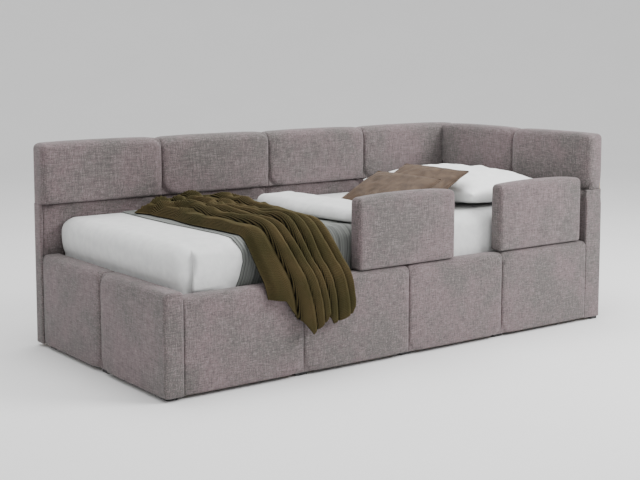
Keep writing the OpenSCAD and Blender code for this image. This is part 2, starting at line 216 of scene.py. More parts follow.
class Weaver:
    """Builds the nodes of one material."""

    def __init__(self, name: str) -> None:
        """Start a material with an empty tree and one shader."""
        self.material = bpy.data.materials.new(name)
        self.material.use_nodes = True
        self.tree = self.material.node_tree
        self.tree.nodes.clear()
        self.shader = self.add("ShaderNodeBsdfPrincipled")
        output = self.add("ShaderNodeOutputMaterial")
        self.link(self.shader.outputs[0], output.inputs[0])

    def add(self, kind: str, **settings: object) -> bpy.types.Node:
        """Add a node and set its own options."""
        node = self.tree.nodes.new(kind)
        for key, value in settings.items():
            setattr(node, key, value)
        return node

    def link(self, source: object, target: bpy.types.NodeSocket) -> None:
        """Join a socket to an input, or set the input when the source is a plain value."""
        if isinstance(source, bpy.types.NodeSocket):
            self.tree.links.new(source, target)
        elif isinstance(source, tuple) and len(source) == 3 and target.type == "RGBA":
            target.default_value = (*source, 1.0)
        else:
            target.default_value = source

    def place(
        self, kind: str = "Object", scale: Sequence[float] = (1, 1, 1), turn: Sequence[float] = (0, 0, 0)
    ) -> bpy.types.NodeSocket:
        """Coordinates of the surface: "Object" in metres, or "UV"."""
        source = self.add("ShaderNodeTexCoord").outputs[kind]
        mapping = self.add("ShaderNodeMapping")
        mapping.inputs["Scale"].default_value = scale
        mapping.inputs["Rotation"].default_value = turn
        self.link(source, mapping.inputs["Vector"])
        return mapping.outputs["Vector"]

    def cloud(
        self, where: object, scale: float, detail: float = 2.0, roughness: float = 0.5, bend: float = 0.0
    ) -> bpy.types.NodeSocket:
        """Noise about 0.5, with features about 1/scale across."""
        node = self.add("ShaderNodeTexNoise")
        self.link(where, node.inputs["Vector"])
        numbers = {"Scale": scale, "Detail": detail, "Roughness": roughness, "Distortion": bend}
        for key, value in numbers.items():
            node.inputs[key].default_value = value
        return node.outputs["Fac"]

    def stripes(
        self, where: object, axis: Axis, pitch: float, bend: float = 0.0, bend_scale: float = 1.0
    ) -> bpy.types.NodeSocket:
        """A sine wave from 0 to 1 along an axis, one cycle each pitch."""
        node = self.add("ShaderNodeTexWave", wave_type="BANDS", bands_direction=axis.name)
        self.link(where, node.inputs["Vector"])
        node.inputs["Scale"].default_value = math.tau / (20.0 * pitch)
        node.inputs["Distortion"].default_value = bend
        node.inputs["Detail Scale"].default_value = bend_scale
        return node.outputs["Fac"]

    def sum(self, operation: str, a: object, b: object) -> bpy.types.NodeSocket:
        """One arithmetic step on two numbers or sockets."""
        node = self.add("ShaderNodeMath", operation=operation)
        self.link(a, node.inputs[0])
        self.link(b, node.inputs[1])
        return node.outputs[0]

    def plus(self, a: object, b: object) -> bpy.types.NodeSocket:
        """The sum of two numbers or sockets."""
        return self.sum("ADD", a, b)

    def times(self, a: object, b: object) -> bpy.types.NodeSocket:
        """The product of two numbers or sockets."""
        return self.sum("MULTIPLY", a, b)

    def spread(
        self, value: object, low: float, high: float, to_low: float = 0.0, to_high: float = 1.0
    ) -> bpy.types.NodeSocket:
        """Stretch the range low..high of a value to another range, clamped."""
        node = self.add("ShaderNodeMapRange", clamp=True)
        for place, number in enumerate((value, low, high, to_low, to_high)):
            self.link(number, node.inputs[place])
        return node.outputs[0]

    def blend(self, factor: object, a: object, b: object) -> bpy.types.NodeSocket:
        """Mix two colours."""
        node = self.add("ShaderNodeMix", data_type="RGBA", clamp_factor=True)
        self.link(factor, node.inputs[0])
        self.link(a, node.inputs[6])
        self.link(b, node.inputs[7])
        return node.outputs[2]

    def relief(self, height: object, distance: float, strength: float = 1.0) -> None:
        """Drive the shader's normal from a height."""
        node = self.add("ShaderNodeBump")
        node.inputs["Strength"].default_value = strength
        node.inputs["Distance"].default_value = distance
        self.link(height, node.inputs["Height"])
        self.link(node.outputs[0], self.shader.inputs["Normal"])

    def set(self, **values: object) -> bpy.types.Material:
        """Set the shader's inputs by name, with _ for a space, and return the material."""
        for key, value in values.items():
            self.link(value, self.shader.inputs[key.replace("_", " ")])
        return self.material


@dataclass(frozen=True)
class Finish:
    """A surface finish: its slot in the record, and the nodes that draw it."""

    slot: str

    def draw(self, weaver: Weaver) -> bpy.types.Material:
        """Lay the finish's nodes into a weaver."""
        raise NotImplementedError

    def material(self) -> bpy.types.Material:
        """The finish's material, drawn once."""
        name = f"{self.slot}_{type(self).__name__}"
        return bpy.data.materials.get(name) or self.draw(Weaver(name))


@dataclass(frozen=True)
class HeatheredUpholstery(Finish):
    """Soft woven upholstery of mauve and grey yarns, mottled."""

    slot: str = "upholstery"
    mauve: Colour = (0.172, 0.124, 0.131)
    grey: Colour = (0.100, 0.096, 0.090)
    # dark is painted shade in the weave's low spots; pale is a painted highlight on its raised threads
    dark: Colour = (0.046, 0.042, 0.040)
    pale: Colour = (0.300, 0.250, 0.255)
    thick: float = 250.0
    long: float = 30.0

    def threads(self, weaver: Weaver) -> list[bpy.types.NodeSocket]:
        """Three sets of short threads, each set lying along one axis."""
        sets = []
        for axis in Axis:
            scale = [self.thick] * 3
            scale[axis.value] = self.long
            sets.append(weaver.cloud(weaver.place(scale=scale), 1.0, 2.0, 0.6))
        return sets

    def draw(self, weaver: Weaver) -> bpy.types.Material:
        """Mix two yarn colours in short crossed threads, over slow clouds of colour, with painted shade in
        the weave's low spots and a painted highlight on its raised threads.
        """
        where = weaver.place()
        clouds = weaver.spread(weaver.cloud(where, 4.5, 3.0, 0.6), 0.40, 0.60)
        flecks = weaver.spread(weaver.cloud(where, 190.0, 3.0, 0.7), 0.38, 0.62)
        first, second, third = self.threads(weaver)
        weave = weaver.times(weaver.plus(weaver.plus(first, second), third), 1 / 3)
        mix = weaver.plus(weaver.times(flecks, 0.45), weaver.times(clouds, 0.55))
        yarns = weaver.blend(mix, self.grey, self.mauve)
        # Painted shade where the weave is low, painted highlight where it is high; the mauve and grey yarns
        # under them are real
        shaded = weaver.blend(weaver.spread(weave, 0.49, 0.38, 0.0, 0.66), yarns, self.dark)
        colour = weaver.blend(weaver.spread(weave, 0.51, 0.63, 0.0, 0.56), shaded, self.pale)
        weaver.relief(weave, 0.0030, 0.60)
        return weaver.set(
            Base_Color=colour,
            Roughness=0.92,
            Specular_IOR_Level=0.2,
            Sheen_Weight=0.15,
            Sheen_Roughness=0.6,
        )


@dataclass(frozen=True)
class Cotton(Finish):
    """Smooth white cotton with a faint weave and soft creases."""

    slot: str = "white_cotton"
    colour: Colour = (0.745, 0.755, 0.745)
    shade: Colour = (0.66, 0.668, 0.668)

    def draw(self, weaver: Weaver) -> bpy.types.Material:
        """A nearly plain cloth, its weave felt more than seen."""
        where = weaver.place()
        creases = weaver.cloud(where, 14.0, 4.0, 0.55, 0.8)
        threads = weaver.cloud(where, 900.0, 1.0)
        height = weaver.plus(weaver.times(creases, 4.0), weaver.times(threads, 0.15))
        weaver.relief(height, 0.002, 0.30)
        tone = weaver.spread(weaver.cloud(where, 30.0, 3.0), 0.3, 0.7)
        return weaver.set(
            Base_Color=weaver.blend(tone, self.shade, self.colour),
            Roughness=0.85,
            Specular_IOR_Level=0.25,
            Sheen_Weight=0.15,
        )


@dataclass(frozen=True)
class LitPillowCotton(Cotton):
    """The pillow's copy of the same white cotton, painted brighter as painted light."""

    # Both colours are raised above the sheet's as painted light on the pillow
    colour: Colour = (0.92, 0.935, 0.925)
    shade: Colour = (0.85, 0.865, 0.86)


@dataclass(frozen=True)
class StripedCotton(Finish):
    """Grey coverlet, woven in light and dark stripes that follow its own edge."""

    slot: str = "striped_cotton"
    light: Colour = (0.330, 0.345, 0.325)
    middle: Colour = (0.150, 0.158, 0.150)
    dark: Colour = (0.062, 0.066, 0.063)

    def draw(self, weaver: Weaver) -> bpy.types.Material:
        """Streaks on the sheet's own map, whose first number is metres from the left edge."""
        where = weaver.place("UV")
        fine = weaver.spread(weaver.cloud(weaver.place("UV", (150.0, 3.0, 1.0)), 1.0, 2.0, 0.6), 0.36, 0.64)
        broad = weaver.spread(weaver.cloud(weaver.place("UV", (34.0, 1.2, 1.0)), 1.0, 2.0), 0.38, 0.62)
        rows = weaver.spread(weaver.stripes(where, Axis.X, 0.013, 0.6, 2.0), 0.55, 0.95)
        threads = weaver.cloud(where, 700.0, 2.0)
        body = weaver.blend(broad, self.dark, self.middle)
        lines = weaver.plus(weaver.times(fine, 0.45), weaver.times(rows, 0.35))
        lines = weaver.times(lines, weaver.spread(threads, 0.25, 0.55, 0.6, 1.0))
        weaver.relief(weaver.plus(threads, weaver.times(fine, 0.8)), 0.0010, 0.5)
        return weaver.set(
            Base_Color=weaver.blend(lines, body, self.light),
            Roughness=0.9,
            Specular_IOR_Level=0.2,
            Sheen_Weight=0.1,
        )


@dataclass(frozen=True)
class RibbedKnit(Finish):
    """Olive-brown rib knit, with rows of stitches along each rib."""

    slot: str = "ribbed_knit"
    crest: Colour = (0.090, 0.067, 0.030)
    # valley is painted shade for the grooves between the ribs and stitches
    valley: Colour = (0.005, 0.004, 0.002)
    tint: Colour = (0.062, 0.053, 0.022)
    pitch: float = 0.0115

    def draw(self, weaver: Weaver) -> bpy.types.Material:
        """Ribs on the throw's own map, in metres across and along the knit, with painted shade darkening the
        grooves between ribs and between stitches.
        """
        where = weaver.place("UV")
        space = weaver.place()
        rib = weaver.stripes(where, Axis.X, self.pitch, 0.25, 1.5)
        stitch = weaver.stripes(where, Axis.Y, 0.006, 1.5, 3.0)
        fuzz = weaver.cloud(space, 600.0, 2.0, 0.6)
        patches = weaver.spread(weaver.cloud(space, 9.0, 2.0), 0.35, 0.65)
        yarn = weaver.blend(patches, self.crest, self.tint)
        # Painted shade: darker down into the rib grooves and between the stitches
        depth = weaver.spread(rib, 0.36, 0.96, 0.0, 1.0)
        depth = weaver.times(depth, weaver.spread(stitch, 0.0, 0.5, 0.72, 1.0))
        height = weaver.plus(weaver.times(rib, 1.2), weaver.times(stitch, 0.4))
        height = weaver.plus(height, weaver.times(fuzz, 0.5))
        weaver.relief(height, 0.0016, 0.6)
        return weaver.set(
            Base_Color=weaver.blend(depth, self.valley, yarn),
            Roughness=0.95,
            Specular_IOR_Level=0.12,
            Sheen_Weight=0.03,
            Sheen_Roughness=0.45,
            Sheen_Tint=(0.62, 0.55, 0.36),
        )


@dataclass(frozen=True)
class BrownSatin(Finish):
    """Soft brown satin with a velvet bloom."""

    slot: str = "brown_satin"
    light: Colour = (0.112, 0.073, 0.047)
    deep: Colour = (0.056, 0.034, 0.021)

    def draw(self, weaver: Weaver) -> bpy.types.Material:
        """A fine pile that catches the light in patches."""
        where = weaver.place()
        nap = weaver.spread(weaver.cloud(where, 22.0, 3.0, 0.5, 0.6), 0.3, 0.7)
        threads = weaver.cloud(where, 800.0, 1.0)
        weaver.relief(weaver.plus(weaver.times(nap, 2.0), threads), 0.0012, 0.3)
        return weaver.set(
            Base_Color=weaver.blend(nap, self.deep, self.light),
            Roughness=0.52,
            Specular_IOR_Level=0.25,
            Sheen_Weight=0.05,
            Sheen_Roughness=0.35,
            Sheen_Tint=(0.85, 0.70, 0.52),
        )


@dataclass(frozen=True)
class SawnTimber(Finish):
    """Softwood with long grain along one axis."""

    slot: str = "timber"
    pale: Colour = (0.560, 0.400, 0.235)
    ring: Colour = (0.380, 0.235, 0.115)
    along: Axis = Axis.X

    def draw(self, weaver: Weaver) -> bpy.types.Material:
        """Grain lines stretched along the timber, with knots."""
        stretch = [34.0, 34.0, 34.0]
        stretch[self.along.value] = 1.6
        where = weaver.place(scale=stretch)
        lines = weaver.spread(weaver.cloud(where, 1.0, 5.0, 0.62, 1.2), 0.35, 0.68)
        pores = weaver.cloud(where, 14.0, 2.0)
        weaver.relief(weaver.plus(lines, weaver.times(pores, 0.5)), 0.0008, 0.35)
        return weaver.set(
            Base_Color=weaver.blend(lines, self.pale, self.ring),
            Roughness=weaver.spread(pores, 0.3, 0.7, 0.5, 0.68),
        )

    def material(self) -> bpy.types.Material:
        """One material for each direction of the grain."""
        name = f"{self.slot}_grain_{self.along.name}"
        return bpy.data.materials.get(name) or self.draw(Weaver(name))


@dataclass(frozen=True)
class PressedSteel(Finish):
    """Zinc-plated steel, slightly brushed."""

    slot: str = "steel"

    def draw(self, weaver: Weaver) -> bpy.types.Material:
        """Fine scratches and a cloudy plating."""
        where = weaver.place(scale=(30.0, 30.0, 900.0))
        scratches = weaver.cloud(where, 1.0, 3.0)
        spangle = weaver.spread(weaver.cloud(weaver.place(), 60.0, 2.0), 0.3, 0.7)
        weaver.relief(scratches, 0.0002, 0.3)
        return weaver.set(
            Base_Color=weaver.blend(spangle, (0.52, 0.53, 0.54), (0.66, 0.67, 0.68)),
            Metallic=1.0,
            Roughness=weaver.spread(scratches, 0.3, 0.7, 0.32, 0.5),
        )


@dataclass(frozen=True)
class MouldedPlastic(Finish):
    """Black moulded plastic with a fine texture."""

    slot: str = "black_plastic"

    def draw(self, weaver: Weaver) -> bpy.types.Material:
        """A spark-eroded grain, scuffed on its edges."""
        where = weaver.place()
        texture = weaver.cloud(where, 900.0, 2.0)
        scuffs = weaver.spread(weaver.cloud(where, 70.0, 4.0), 0.45, 0.75)
        weaver.relief(texture, 0.0003, 0.4)
        return weaver.set(
            Base_Color=weaver.blend(scuffs, (0.018, 0.018, 0.019), (0.05, 0.05, 0.05)),
            Roughness=weaver.spread(scuffs, 0.0, 1.0, 0.45, 0.7),
        )


@dataclass(frozen=True)
class WovenStrap(Finish):
    """Pale webbing with a herringbone weave."""

    slot: str = "webbing"

    def draw(self, weaver: Weaver) -> bpy.types.Material:
        """Crossed ribs on the strap, with painted shade in the low spots between them."""
        where = weaver.place()
        warp = weaver.stripes(where, Axis.X, 0.003)
        ribs = weaver.times(warp, weaver.stripes(where, Axis.Y, 0.002))
        weaver.relief(ribs, 0.0006, 0.7)
        # Painted shade: darker where the weave is low, paler where it is raised
        tone = weaver.blend(ribs, (0.30, 0.28, 0.24), (0.62, 0.60, 0.54))
        return weaver.set(Base_Color=tone, Roughness=0.9)


@dataclass(frozen=True)
class Ticking(Finish):
    """Knitted mattress ticking, quilted in diamonds."""

    slot: str = "mattress_ticking"

    def draw(self, weaver: Weaver) -> bpy.types.Material:
        """Diagonal quilting lines over a soft knit, with painted shade along the sunken lines."""
        where = weaver.place(turn=(0.0, 0.0, math.radians(45)))
        first = weaver.spread(weaver.stripes(where, Axis.X, 0.09), 0.0, 0.12)
        second = weaver.spread(weaver.stripes(where, Axis.Y, 0.09), 0.0, 0.12)
        quilt = weaver.times(first, second)
        knit = weaver.cloud(weaver.place(), 500.0, 2.0)
        weaver.relief(weaver.plus(weaver.times(quilt, 3.0), knit), 0.002, 0.5)
        # The sunken quilting lines are painted grey as painted shade
        return weaver.set(
            Base_Color=weaver.blend(quilt, (0.58, 0.58, 0.56), (0.78, 0.78, 0.76)),
            Roughness=0.9,
            Sheen_Weight=0.1,
        )


@dataclass(frozen=True)
class PaleFloor(Finish):
    """Plain pale studio floor."""

    slot: str = "floor"

    def draw(self, weaver: Weaver) -> bpy.types.Material:
        """Nearly white, with the faintest cloud."""
        tone = weaver.cloud(weaver.place(), 1.5, 2.0)
        return weaver.set(
            Base_Color=weaver.blend(tone, (0.86, 0.86, 0.86), (0.90, 0.90, 0.90)),
            Roughness=0.9,
            Specular_IOR_Level=0.1,
        )


UPHOLSTERY = HeatheredUpholstery()
COTTON = Cotton()


# ---- Pieces -----------------------------------------------------------------------------


def add_piece(
    name: str,
    shape: bpy.types.Object | bmesh.types.BMesh,
    finish: Finish,
    body: str,
    nodes: Sequence[str] = (),
) -> bpy.types.Object:
    """Dress a shape, and hang it on its body.

    Args:
        name: Name of the piece.
        shape: Its finished object, or a bmesh to put in one.
        finish: The finish that it takes.
        body: The body it rides on.
        nodes: The frame's nodes that it stands for.

    Returns:
        The piece's object.
    """
    obj = shape if isinstance(shape, bpy.types.Object) else loose_object(name, shape)
    obj.name = obj.data.name = name
    obj.data.materials.clear()
    obj.data.materials.append(finish.material())
    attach(obj, body)
    if nodes:
        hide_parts(*nodes)
    log.info("%s: %d faces on %s", name, len(obj.data.polygons), body)
    return obj


@dataclass(frozen=True)
class Face:
    """One outward face of a padded block: how far its seams and its rim are pulled in."""

    axis: Axis
    side: Side
    valley: float = 0.015
    crown: float = 0.004
    reach: float = 0.055


@dataclass(frozen=True)
class Seam:
    """A side of a padded block where it is sewn to its neighbour."""

    axis: Axis
    side: Side
    width: float = 0.050
    pull: float = 1.0


@dataclass
class PaddedBlock:
    """A padded, upholstered block: rounded edges, crowned faces, and valleys at its seams."""

    name: str
    lo: Vector
    hi: Vector
    round_lo: Sequence[float]
    round_hi: Sequence[float]
    faces: Sequence[Face] = ()
    seams: Sequence[Seam] = ()
    step: float = 0.010
    waver: float = 0.0012
    pucker: float = 0.0011
    last_touch: Callable[[Vector], Vector] | None = None
    corner_round: float = 0.060

    def seam_gap(self, point: Vector, seam: Seam, axis: int) -> float:
        """How far a point lies from a seam, measured round the corners of the pad.

        Args:
            point: A point of the block.
            seam: The seam.
            axis: The axis that the face looks along.

        Returns:
            The distance in metres.
        """
        across = seam.axis.value
        end = self.hi[across] if seam.side is Side.HIGH else self.lo[across]
        gap = abs(end - point[across])
        if axis == Axis.Z.value:
            return gap
        other = 3 - axis - across
        along = min(point[other] - self.lo[other], self.hi[other] - point[other])
        if max(gap, along) < self.corner_round:
            round_gap = self.corner_round - math.hypot(self.corner_round - gap, self.corner_round - along)
            gap = max(0.0, round_gap)
        return gap

    def gather(self, point: Vector) -> Vector:
        """Draw the grid lines closer together towards both ends of each axis."""
        moved = point.copy()
        for axis in range(3):
            length = self.hi[axis] - self.lo[axis]
            ratio = (point[axis] - self.lo[axis]) / length
            moved[axis] = self.lo[axis] + length * (ratio - 0.5 * math.sin(math.tau * ratio) / math.tau)
        return moved

    def rounded(self, point: Vector) -> Vector:
        """Round the block's edges and corners.

        Args:
            point: A point on or in the box.

        Returns:
            Where it goes on the rounded block.
        """
        centre = point.copy()
        radii = [0.0, 0.0, 0.0]
        for axis in range(3):
            low, high = self.lo[axis] + self.round_lo[axis], self.hi[axis] - self.round_hi[axis]
            if point[axis] < low:
                centre[axis], radii[axis] = low, self.round_lo[axis]
            elif point[axis] > high:
                centre[axis], radii[axis] = high, self.round_hi[axis]
        lean = Vector([(point[i] - centre[i]) / radii[i] if radii[i] else 0.0 for i in range(3)])
        if lean.length > 0.0:
            lean *= max(abs(part) for part in lean) / lean.length
        return Vector([centre[i] + lean[i] * radii[i] for i in range(3)])

    def pulled(self, point: Vector) -> Vector:
        """Pull the faces in at their seams and rims, with small puckers there.

        Args:
            point: A point of the rounded block.

        Returns:
            Where the stitching takes it.
        """
        seed = seed_of(self.name)
        moved = point.copy()
        for face in self.faces:
            axis = face.axis.value
            edge = self.hi[axis] if face.side is Side.HIGH else self.lo[axis]
            depth = abs(edge - point[axis])
            fade = max(0.0, 1.0 - depth / face.reach)
            if fade == 0.0:
                continue
            shut, near = 1.0, 0.0
            for seam in self.seams:
                across = seam.axis.value
                if across == axis:
                    continue
                gap = self.seam_gap(point, seam, axis) / seam.width
                near = max(near, 1.0 - gap / 2.2)
                for share, sharp in ((0.5, 1.0), (0.5, 4.0)):
                    inside = max(0.0, 1.0 - gap * sharp)
                    shut -= share * seam.pull * (1.0 - math.sqrt(1.0 - inside**2))
            shut = max(0.0, shut)
            rim = 1.0
            for across in range(3):
                if across != axis:
                    half = (self.hi[across] - self.lo[across]) / 2
                    ratio = abs(point[across] - self.lo[across] - half) / half
                    rim *= 1.0 - min(1.0, ratio) ** 3
            inward = face.valley * (1.0 - shut) + face.crown * (1.0 - rim)
            inward += self.waver * (0.5 + 0.5 * grain(point, 5.0, seed) + 0.3 * grain(point, 15.0, seed))
            if near > 0.0:
                inward += self.pucker * near * grain(point, 34.0, seed + 5.0)
            moved[axis] -= face.side.value * inward * fade
        return moved

    def mesh(self) -> bmesh.types.BMesh:
        """The shaped block."""
        bm = gridded_box(self.lo, self.hi, (self.step, self.step, self.step))
        for vert in bm.verts:
            vert.co = self.pulled(self.rounded(self.gather(vert.co)))
            if self.last_touch:
                vert.co = self.last_touch(vert.co)
        return bm

    def build(
        self,
        finish: Finish,
        body: str,
        nodes: Sequence[str],
        cutters: Iterable[bmesh.types.BMesh] = (),
        fill: float = 0.9,
    ) -> bpy.types.Object:
        """Make the block a piece of the bed.

        Args:
            finish: Its finish.
            body: The body that it rides on.
            nodes: The nodes that it stands for.
            cutters: What is inside it, taken out of it.
            fill: How tightly it is stuffed; not used.

        Returns:
            The piece.
        """
        obj = loose_object(self.name, self.mesh())
        carve(obj, cutters)
        add_piece(self.name, obj, finish, body, nodes)
        return obj


OUTER_FRONT = Face(Axis.Y, Side.LOW, valley=0.016, crown=0.006)
TOP_FACE = Face(Axis.Z, Side.HIGH, valley=0.016, crown=0.006, reach=0.070)
LOW_TOP = Face(Axis.Z, Side.HIGH, valley=0.007, crown=0.002)
INNER_HEAD = Face(Axis.X, Side.LOW, valley=0.016, crown=0.006)


def stretched_cover(name: str, node: str) -> None:
    """Stretch a plain cover over the outer face of a tall panel.

    Args:
        name: Name of the piece.
        node: The node that it stands for.
    """
    lo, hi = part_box(node)
    block = PaddedBlock(name, lo, hi, COVER_ROUND, COVER_ROUND, (), (), COVER_STEP)
    cover = add_piece(name, block.mesh(), UPHOLSTERY, BASE_BODY, [node])


@dataclass
class BackPanel:
    """The tall padded panel at the rear: four pads above, four below, a cover and an end wrap."""

    columns: int = 4
    soft: float = 0.026
    flesh: float = 0.010
    swell_out: float = 0.011
    swell_h: float = 0.042

    def cavity(self, lo: Vector, hi: Vector) -> bmesh.types.BMesh:
        """The space of the timber and plywood behind a pad that wraps over the top."""
        frame_lo, frame_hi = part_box("back_rails")
        left = max(frame_lo.x, lo.x - OVERCUT)
        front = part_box("back_plywood")[0].y
        return plain_box((left, front, 0.0), (hi.x + 2 * OPEN_SIDE, hi.y + OVERCUT, frame_hi.z))

    def build_upper(self) -> None:
        """Make the upper pads. The last one runs on behind the headboard and over the corner."""
        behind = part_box("head_plywood")[0].x - HAIR
        for place in range(self.columns):
            node = f"back_upper_pad_{place + 1}"
            lo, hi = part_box(node)
            last, first = place == self.columns - 1, place == 0
            cutters = [self.cavity(lo, hi)]
            if last:
                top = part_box("head_rails")[1].z
                far = (hi.x + OVERCUT, hi.y + OVERCUT, top)
                cutters.append(plain_box((behind, lo.y - OVERCUT, 0.0), far))
            seams = [] if first else [Seam(Axis.X, Side.LOW)]
            seams += [] if last else [Seam(Axis.X, Side.HIGH)]
            PaddedBlock(
                f"back_cushion_{place + 1}",
                lo,
                hi,
                (self.soft if first else 0.0, self.soft, 0.0),
                (self.flesh if last else 0.0, self.flesh, self.soft),
                (OUTER_FRONT, TOP_FACE),
                (*seams, Seam(Axis.Z, Side.LOW, 0.022, pull=0.5)),
            ).build(UPHOLSTERY, BASE_BODY, [node], cutters)

    def swell(self, point: Vector) -> Vector:
        """Swell a lower pad forward to meet the upper pads, above the mattress."""
        lo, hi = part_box("back_lower_pad_1")
        ratio = max(0.0, 1.0 - (point.y - lo.y) / (hi.y - lo.y))
        rise = smooth(point.z, hi.z - self.swell_h, hi.z - 0.004)
        return point - Vector((0.0, self.swell_out * rise * ratio, 0.0))

    def build_lower(self) -> None:
        """Make the lower pads, set back behind the mattress."""
        front = Face(Axis.Y, Side.LOW, valley=0.009, crown=0.002, reach=0.022)
        for place in range(self.columns):
            node = f"back_lower_pad_{place + 1}"
            lo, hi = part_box(node)
            last = place == self.columns - 1
            if last:
                hi = Vector((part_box("head_plywood")[0].x - HAIR, hi.y, hi.z))
            PaddedBlock(
                f"back_lower_cushion_{place + 1}",
                lo,
                hi,
                (0.0, 0.010, 0.010),
                (0.0, 0.0, 0.006),
                (front,),
                (Seam(Axis.X, Side.LOW, 0.03),) + (() if last else (Seam(Axis.X, Side.HIGH, 0.03),)),
                last_touch=self.swell,
            ).build(UPHOLSTERY, BASE_BODY, [node])

    def build_cover(self) -> None:
        """Stretch the plain cover over the rear."""
        stretched_cover("back_panel_cover", "back_cover")

    def build_end(self) -> None:
        """Wrap the foot end of the panel."""
        lo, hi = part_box("back_end_wrap")
        PaddedBlock(
            "back_panel_end", lo, hi, (0.008, 0.010, 0.004), (0.0, 0.008, 0.0), (), (), 0.008
        ).build(UPHOLSTERY, BASE_BODY, ["back_end_wrap"])

    def build(self) -> None:
        """Make the whole panel."""
        self.build_upper()
        self.build_lower()
        self.build_cover()
        self.build_end()


@dataclass
class Headboard:
    """The tall padded end: two pads above, two below, a cover and an end wrap."""

    columns: int = 2
    soft: float = 0.026

    def seams(self, place: int) -> list[Seam]:
        """The upright seams of a pad, counted from the open side."""
        return [Seam(Axis.Y, Side.HIGH if place == 0 else Side.LOW)]

    def build(self) -> None:
        """Make the whole headboard."""
        ply_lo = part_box("head_plywood")[0]
        rail_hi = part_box("head_rails")[1]
        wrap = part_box("head_end_wrap")
        for place in range(self.columns):
            node = f"head_upper_pad_{place + 1}"
            lo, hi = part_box(node)
            first = place == 0
            inner = ply_lo.y if first else lo.y - OVERCUT
            end = (Face(Axis.Y, Side.LOW, 0.005, 0.002, 0.04),) if first else ()
            PaddedBlock(
                f"head_cushion_{place + 1}",
                lo,
                hi,
                (self.soft, 0.022 if first else 0.0, 0.0),
                (0.012, 0.0, self.soft),
                (INNER_HEAD, TOP_FACE, *end),
                (*self.seams(place), Seam(Axis.Z, Side.LOW, 0.032)),
            ).build(
                UPHOLSTERY,
                BASE_BODY,
                [node],
                [plain_box((ply_lo.x, inner, 0.0), (hi.x + OVERCUT, hi.y + OPEN_SIDE, rail_hi.z))],
            )
            node = f"head_lower_pad_{place + 1}"
            lo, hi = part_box(node)
            PaddedBlock(
                f"head_lower_cushion_{place + 1}",
                lo,
                hi,
                (0.0, 0.0, 0.010),
                (0.0, 0.0, 0.0),
                (Face(Axis.X, Side.LOW, 0.013, 0.006, 0.049),),
                (*self.seams(place), Seam(Axis.Z, Side.HIGH, 0.032)),
            ).build(UPHOLSTERY, BASE_BODY, [node])
        PaddedBlock(
            "headboard_end",
            *wrap,
            (0.004, 0.006, 0.003),
            (0.006, 0.0, 0.0),
            (Face(Axis.Y, Side.LOW, 0.004, 0.001, 0.0115),),
            (Seam(Axis.Z, Side.HIGH, 0.025),),
            0.007,
        ).build(UPHOLSTERY, BASE_BODY, ["head_end_wrap"])
        stretched_cover("headboard_cover", "head_cover")


@dataclass
class LowPanels:
    """The padded foot panel and the padded rail on the open side."""

    foot_columns: int = 2
    side_columns: int = 4
    socket_radius: float = 0.009

    def build_foot(self) -> None:
        """Make the two foot pads, each wrapped over the timber."""
        rail_lo, rail_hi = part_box("foot_rails")
        thick_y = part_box("side_rail")[0].y
        for place in range(self.foot_columns):
            node = f"foot_pad_{place + 1}"
            lo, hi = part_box(node)
            first = place == 0
            inner = rail_lo.y if first else lo.y - OVERCUT
            inside_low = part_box("back_lower_pad_1")[0].z
            PaddedBlock(
                f"foot_cushion_{place + 1}",
                lo,
                hi,
                (0.026, 0.010 if first else 0.0, 0.005),
                (0.010, 0.0, 0.028),
                (Face(Axis.X, Side.LOW, 0.013, 0.005, 0.03), LOW_TOP),
                (Seam(Axis.Y, Side.HIGH if first else Side.LOW),)
                + (() if first else (Seam(Axis.Y, Side.HIGH, pull=0.25),)),
            ).build(
                UPHOLSTERY,
                BASE_BODY,
                [node],
                [
                    plain_box((rail_lo.x, inner, 0.0), (rail_hi.x, hi.y + OPEN_SIDE, rail_hi.z)),
                    plain_box(
                        (rail_hi.x - 0.001, thick_y, 0.0), (hi.x + OVERCUT, hi.y + OPEN_SIDE, inside_low)
                    ),
                ],
            )

    def build_side(self, pin_places: Sequence[Point2]) -> None:
        """Make the four pads of the open side, with holes for the guards' pins.

        Args:
            pin_places: Centres of the pins, seen from above.
        """
        rail_lo, rail_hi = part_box("side_rail")
        inside_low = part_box("back_lower_pad_1")[0].z
        for place in range(self.side_columns):
            node = f"side_pad_{place + 1}"
            lo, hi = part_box(node)
            left, right = lo.x - OVERCUT, hi.x + OVERCUT
            cutters = [
                plain_box((left, rail_lo.y, 0.0), (right, rail_hi.y, rail_hi.z)),
                plain_box((left, rail_hi.y - 0.001, 0.0), (right, hi.y + OVERCUT, inside_low)),
            ]
            cutters += [
                plain_rod(pin, self.socket_radius, rail_hi.z - OVERCUT, hi.z + OVERCUT)
                for pin in pin_places
                if lo.x < pin[0] < hi.x
            ]
            PaddedBlock(
                f"side_cushion_{place + 1}",
                lo,
                hi,
                (0.0, 0.026, 0.005),
                (0.0, 0.020, 0.028),
                (Face(Axis.Y, Side.LOW, 0.0078, 0.0012, 0.025), LOW_TOP),
                (
                    Seam(Axis.X, Side.LOW, pull=0.5 if place == 0 else 1.0),
                    Seam(Axis.X, Side.HIGH, pull=0.15 if place == self.side_columns - 1 else 1.0),
                ),
            ).build(UPHOLSTERY, BASE_BODY, [node], cutters)

    def build(self, pin_places: Sequence[Point2]) -> None:
        """Make both panels."""
        self.build_foot()
        self.build_side(pin_places)


